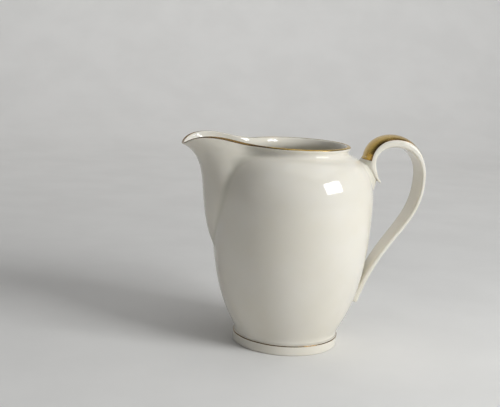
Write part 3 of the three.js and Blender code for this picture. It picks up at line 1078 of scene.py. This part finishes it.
@dataclass
class Handle:
    """The strap with its scroll and its gold. Millimetres, and shares of the strap's length."""

    vessel: Vessel
    reach_out: float
    reach_height: float = 93.9
    reach_face: float = 2.05
    crest: Point = (53.5, 112.6)
    tail: Point = (46.3, 91.0)
    tail_length: float = 9.0
    tail_thickness: float = 1.2
    foot_height: float = 23.2
    scroll_bend: Bend = Bend((-1.247, 0.4365), (1.68, 0.0), 120)
    loop_bend: Bend = Bend((0.58, 0.0), (0.0, 0.59), 120)
    fall_bend: Bend = Bend((0.0, 0.395), (0.386, 0.568), 160)
    widths: tuple[float, ...] = (16.7, 18.8, 17.8, 14.2, 10.7)
    thicknesses: tuple[float, ...] = (3.5, 4.8, 2.4, 2.6, 3.5)
    domes: tuple[float, ...] = (1.8, 1.45, 0.3, 0.2, 0.2)
    squareness: float = 4.4
    end_rounds: Point = (0.9, 1.5)
    depth_in_wall: float = 1.3
    flares: tuple[Point, ...] = ((0.045, 0.8), (0.075, 8.0), (0.3, 8.0), (0.8, 1.5))
    side_flare: float = 0.4
    # How much of the darker tone, pooled glaze and painted shade, the strap takes where it meets the body
    pool_and_shade_weight: float = 0.6
    gold_start: float = 0.095
    gold_end: float = 0.365
    gold_shares: Triple = (0.975, 0.93, 0.74)
    gold_proud: float = 0.06
    gold_sunk: float = 0.25
    gold_rows: int = 90
    gold_columns: int = 33
    line_steps: int = 680
    steps: int = 170
    end_steps: int = 8
    sides: int = 56

    @classmethod
    def from_frame(cls, vessel: Vessel) -> "Handle":
        """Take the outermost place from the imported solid."""
        return cls(vessel=vessel, reach_out=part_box("handle")[1].x / MM - vessel.axis - cls.reach_face)

    @cached_property
    def _runs(self) -> tuple[Numbers, Numbers, Numbers]:
        """The strap's middle line: scroll, shoulder of the loop and straight run."""
        reach = (self.reach_out, self.reach_height)
        foot_radius = float(self.vessel.radius(Side.OUTSIDE, self.foot_height))
        foot = (foot_radius + self.thicknesses[-1] / 2.0, self.foot_height)
        return (
            self.scroll_bend.points(self.tail, self.crest),
            self.loop_bend.points(self.crest, reach),
            self.fall_bend.points(reach, foot),
        )

    @cached_property
    def line(self) -> Numbers:
        """The strap's middle line at even steps, as (distance, height) points."""
        return spaced(joined(*self._runs), self.line_steps)

    @cached_property
    def length(self) -> float:
        """Length of the middle line."""
        return float(step_lengths(self.line).sum())

    @cached_property
    def _places(self) -> tuple[float, float, float, float]:
        """Shares of the length at the crest, at the reach, halfway down and at the end."""
        scroll, loop, _fall = (float(step_lengths(run).sum()) / self.length for run in self._runs)
        return scroll, scroll + loop, (1.0 + scroll + loop) / 2.0, 1.0

    def _stops(self, values: Sequence[float], start: float) -> list[Point]:
        """Stops of a value along the strap.

        Args:
            values: Values at the tail's root, the crest, the reach, halfway down and the end.
            start: Value at the tail's tip.

        Returns:
            The stops.
        """
        places = (self.tail_length / self.length, *self._places)
        return [(0.0, start), *zip(places, values)]

    def _half_width(self, at: Numbers) -> Numbers:
        """Half of the strap's width along its length."""
        return eased(zip((0.0, *self._places), self.widths), at) / 2.0

    def _face(self, at: Numbers, section: Numbers) -> Numbers:
        """Heights of a section over the middle line, with the dome on its outer side.

        Args:
            at: Shares of the length, one per row.
            section: (across, out) shares of the strap's halves, by columns or by rows and columns.

        Returns:
            Heights, rows by columns.
        """
        flat = eased(self._stops(self.thicknesses, self.tail_thickness), at)[:, None] / 2.0
        dome = eased(self._stops(self.domes, 0.0), at)[:, None]
        across, out = section[..., 0], section[..., 1]
        return flat * out + dome * (1.0 - across**2) * (out > 0.0)

    def _middle(self, at: Numbers) -> tuple[Numbers, Numbers]:
        """Find places on the middle line.

        Args:
            at: Shares of the length.

        Returns:
            (distance, height) points, and the directions out of the strap there.
        """
        share = np.linspace(0.0, 1.0, len(self.line))
        place, along = (
            np.stack([np.interp(at, share, values[:, i]) for i in (0, 1)], axis=-1)
            for values in (self.line, directions(self.line))
        )
        return place, square_to(along)

    def _points(self, at: Numbers, across: Numbers, out: Numbers) -> Numbers:
        """Points of the strap in the jug's frame.

        Args:
            at: Shares of the length, one per row.
            across: Distances across the strap, rows by columns.
            out: Distances out of its middle, rows by columns.

        Returns:
            The points, rows by columns.
        """
        place, square = self._middle(at)
        flat = place[:, None, :] + square[:, None, :] * out[..., None]
        return np.stack([self.vessel.axis + flat[..., 0], across, flat[..., 1]], axis=-1)

    def _meet_body(self, at: Numbers, section: Numbers, grid: Numbers) -> tuple[Numbers, Numbers]:
        """Flare points out where they near the body, and keep them inside its wall.

        Args:
            at: Shares of the length, one per row.
            section: (across, out) shares of the strap's halves, by columns or by rows and columns.
            grid: Points in the jug's frame, rows by columns.

        Returns:
            The moved points, and how near to the body each is, from 0 to 1.
        """
        face = np.sign(section) * np.abs(section) ** (self.squareness - 1.0)
        face /= np.linalg.norm(face, axis=-1, keepdims=True)
        square = self._middle(at)[1][:, None, :] * np.maximum(face[..., 1:], 0.0)
        across = np.broadcast_to(face[..., 0] * self.side_flare, square.shape[:2])
        flare = eased(self.flares, at)[:, None]
        near = np.clip(1.0 - self._gap(grid) / flare, 0.0, 1.0)
        spread = flare * (1.0 - np.sqrt(1.0 - near**2))
        grid = grid + np.stack([square[..., 0], across, square[..., 1]], axis=-1) * spread[..., None]
        grid[..., 0] -= np.minimum(self._gap(grid) + self.depth_in_wall, 0.0)
        return grid, near

    def _gap(self, grid: Numbers) -> Numbers:
        """Level distance of points from the body's outside, negative inside it."""
        out = np.hypot(grid[..., 0] - self.vessel.axis, grid[..., 1])
        return out - self.vessel.radius(Side.OUTSIDE, grid[..., 2])

    def build(self) -> bpy.types.Object:
        """Make the strap.

        Returns:
            The strap.
        """
        turn = (np.arange(self.sides) + 0.5) / self.sides * 2.0 * math.pi
        both = np.stack([np.cos(turn), np.sin(turn)], axis=1)
        section = np.sign(both) * np.abs(both) ** (2.0 / self.squareness)
        round_in, round_out = (size / self.length for size in self.end_rounds)
        bow = np.sin(np.linspace(0.0, math.pi / 2.0, self.end_steps))
        at = np.concatenate(
            [
                round_in * (1.0 - bow[::-1]),
                np.linspace(round_in, 1.0 - round_out, self.steps)[1:-1],
                1.0 - round_out * (1.0 - bow),
            ]
        )
        fall = np.minimum(at / round_in, (1.0 - at) / round_out)
        shrink = np.sqrt(np.clip(1.0 - (1.0 - np.clip(fall, 0.0, 1.0)) ** 2, 0.0, 1.0))
        half_width = self._half_width(at) - self.end_rounds[0] * (1.0 - shrink)
        across = half_width[:, None] * section[:, 0]
        out = self._face(at, section) * shrink[:, None]
        grid, near = self._meet_body(at, section, self._points(at, across, out))
        skin = Skin("strap_handle", grid)
        # Pooled glaze and painted shade where the strap meets the body
        skin.marks[Mark.POOL_AND_SHADE] = near * self.pool_and_shade_weight
        return skin.build()

    def gild(self) -> bpy.types.Object:
        """Make the gold over the strap's outer face.

        Returns:
            The film.
        """
        at = np.linspace(self.gold_start, self.gold_end, self.gold_rows)
        spread = np.sin(np.linspace(-math.pi / 2.0, math.pi / 2.0, self.gold_columns))
        stops = zip((self.gold_start, self._places[0], self.gold_end), self.gold_shares)
        share = eased(stops, at)[:, None] * spread
        across = self._half_width(at)[:, None] * share
        rise = (1.0 - np.abs(share) ** self.squareness) ** (1.0 / self.squareness)
        section = np.stack([share, rise], axis=-1)
        face = self._face(at, section)
        middle = self._points(at, across, face)
        flared, _near = self._meet_body(at, section, middle)
        upper, lower = (
            self._points(at, across, face + lift) + flared - middle
            for lift in (self.gold_proud, -self.gold_sunk)
        )
        skin = Skin("handle_gilding", np.concatenate([upper, lower[:, ::-1]], axis=1))
        # The band's sides and ends turn dark brown in the gold's finish: thinning film and painted dark
        # reflection
        from_end = np.minimum(at - self.gold_start, self.gold_end - at) * self.length
        edge = np.maximum(np.abs(spread), np.clip(1.0 - from_end, 0.0, 1.0)[:, None])
        skin.marks[Mark.EDGE] = np.concatenate([edge, edge[:, ::-1]], axis=1)
        return skin.build(capped=True)


# The studio


@dataclass(frozen=True)
class Softbox:
    """A rectangular lamp. Lengths in metres."""

    name: str
    place: Triple
    aim: Triple
    width: float
    height: float
    watts: float
    colour: Triple = (1.0, 1.0, 1.0)

    def build(self) -> None:
        """Hang the lamp."""
        lamp = bpy.data.lights.new(self.name, "AREA")
        lamp.shape = "RECTANGLE"
        lamp.size = self.width
        lamp.size_y = self.height
        lamp.energy = self.watts
        lamp.color = self.colour
        holder = bpy.data.objects.new(self.name, lamp)
        holder.location = self.place
        holder.rotation_euler = (Vector(self.aim) - Vector(self.place)).to_track_quat("-Z", "Y").to_euler()
        bpy.context.scene.collection.objects.link(holder)


@dataclass(frozen=True)
class Viewpoint:
    """The camera, given from the jug's axis. Lengths in millimetres, turns in degrees."""

    distance: float = 493.57
    height: float = 165.38
    around: float = 11.0
    yaw: float = -2.68
    pitch: float = 10.31
    roll: float = 3.057
    focal_px: float = 920.0
    frame_px: float = 500.0
    film_mm: float = 36.0
    nearest: float = 10.0

    def build(self, axis: float) -> None:
        """Set up the camera.

        Args:
            axis: The jug's axis along X.
        """
        around = math.radians(self.around)
        turn = (
            Matrix.Rotation(-math.radians(self.yaw + self.around), 4, "Z")
            @ Matrix.Rotation(math.radians(90.0 - self.pitch), 4, "X")
            @ Matrix.Rotation(math.radians(self.roll), 4, "Z")
        )
        lens = bpy.data.cameras.new("viewpoint")
        lens.sensor_width = self.film_mm
        lens.sensor_fit = "HORIZONTAL"
        lens.lens = self.film_mm * self.focal_px / self.frame_px
        lens.clip_start = self.nearest * MM
        camera = bpy.data.objects.new("viewpoint", lens)
        aside = self.distance * math.sin(around)
        place = Vector((axis - aside, -self.distance * math.cos(around), self.height))
        camera.matrix_world = Matrix.Translation(place * MM) @ turn
        bpy.context.scene.collection.objects.link(camera)
        bpy.context.scene.camera = camera


@dataclass
class Studio:
    """A pale sweep of paper, soft lamps and an even sky. Lengths in metres."""

    half_width: float = 2.2
    front: float = -1.6
    back: float = 0.75
    curve: float = 0.45
    curve_steps: int = 24
    wall: float = 1.6
    jug: Triple = (0.0, 0.0, 0.06)
    behind: Triple = (0.0, 1.2, 0.85)
    sky: Colour = (0.80, 0.83, 0.88, 1.0)
    sky_strength: float = 0.17

    def lamps(self) -> list[Softbox]:
        """The lamps: a window on the right, a soft one above, a weak fill and one for the paper behind."""
        return [
            Softbox("window", (0.66, -0.52, 0.48), self.jug, 0.42, 0.3, 6.8, (0.97, 0.99, 1.0)),
            Softbox("top", (0.25, -0.1, 1.1), self.jug, 1.1, 0.9, 2.8, (1.0, 0.99, 0.97)),
            Softbox("fill", (-0.9, -0.7, 0.5), self.jug, 0.8, 0.8, 0.5, (1.0, 0.97, 0.92)),
            Softbox("paper", (0.0, 0.35, 1.0), self.behind, 2.4, 0.4, 7.0),
        ]

    def build(self) -> None:
        """Put up the paper, the lamps and the sky."""
        bend = arc((self.back, self.curve), self.curve, -90.0, 0.0, self.curve_steps)
        side = joined(np.array([(self.front, 0.0), (self.back, 0.0)]), bend)
        side = np.concatenate([side, [(side[-1, 0], self.wall)]])
        mesh = bpy.data.meshes.new("paper_sweep")
        points = [(x, y, z) for y, z in side.tolist() for x in (-self.half_width, self.half_width)]
        faces = [(2 * i, 2 * i + 1, 2 * i + 3, 2 * i + 2) for i in range(len(side) - 1)]
        mesh.from_pydata(points, [], faces)
        mesh.polygons.foreach_set("use_smooth", [True] * len(faces))
        sweep = bpy.data.objects.new("paper_sweep", mesh)
        bpy.context.scene.collection.objects.link(sweep)
        sweep.data.materials.append(StudioPaper().material())
        for lamp in self.lamps():
            lamp.build()
        world = bpy.data.worlds.new("even_sky")
        world.use_nodes = True
        glow = world.node_tree.nodes["Background"]
        glow.inputs["Color"].default_value = self.sky
        glow.inputs["Strength"].default_value = self.sky_strength
        bpy.context.scene.world = world


def main() -> None:
    """Build the jug and its studio."""
    logging.basicConfig(level=logging.INFO, format="%(name)s %(message)s")
    bpy.context.scene.view_settings.view_transform = "Standard"
    vessel = Vessel.from_frame()
    Viewpoint().build(vessel.axis)
    glaze = IvoryGlaze().material()
    gold = FiredGold().material()
    foot = Foot.from_frame(vessel)
    handle = Handle.from_frame(vessel)
    settle(vessel.build(), Slot.PORCELAIN, glaze, "body", "spout", "handle_root")
    settle(foot.build(), Slot.PORCELAIN, glaze, "foot_ring")
    settle(handle.build(), Slot.PORCELAIN, glaze, "handle")
    settle(vessel.gild(), Slot.GOLD, gold, "rim_gold_line")
    settle(foot.gild(), Slot.GOLD, gold, "foot_gold_line")
    settle(handle.gild(), Slot.GOLD, gold, "handle_gold_band")
    Studio().build()


if __name__ == "__main__":
    main()
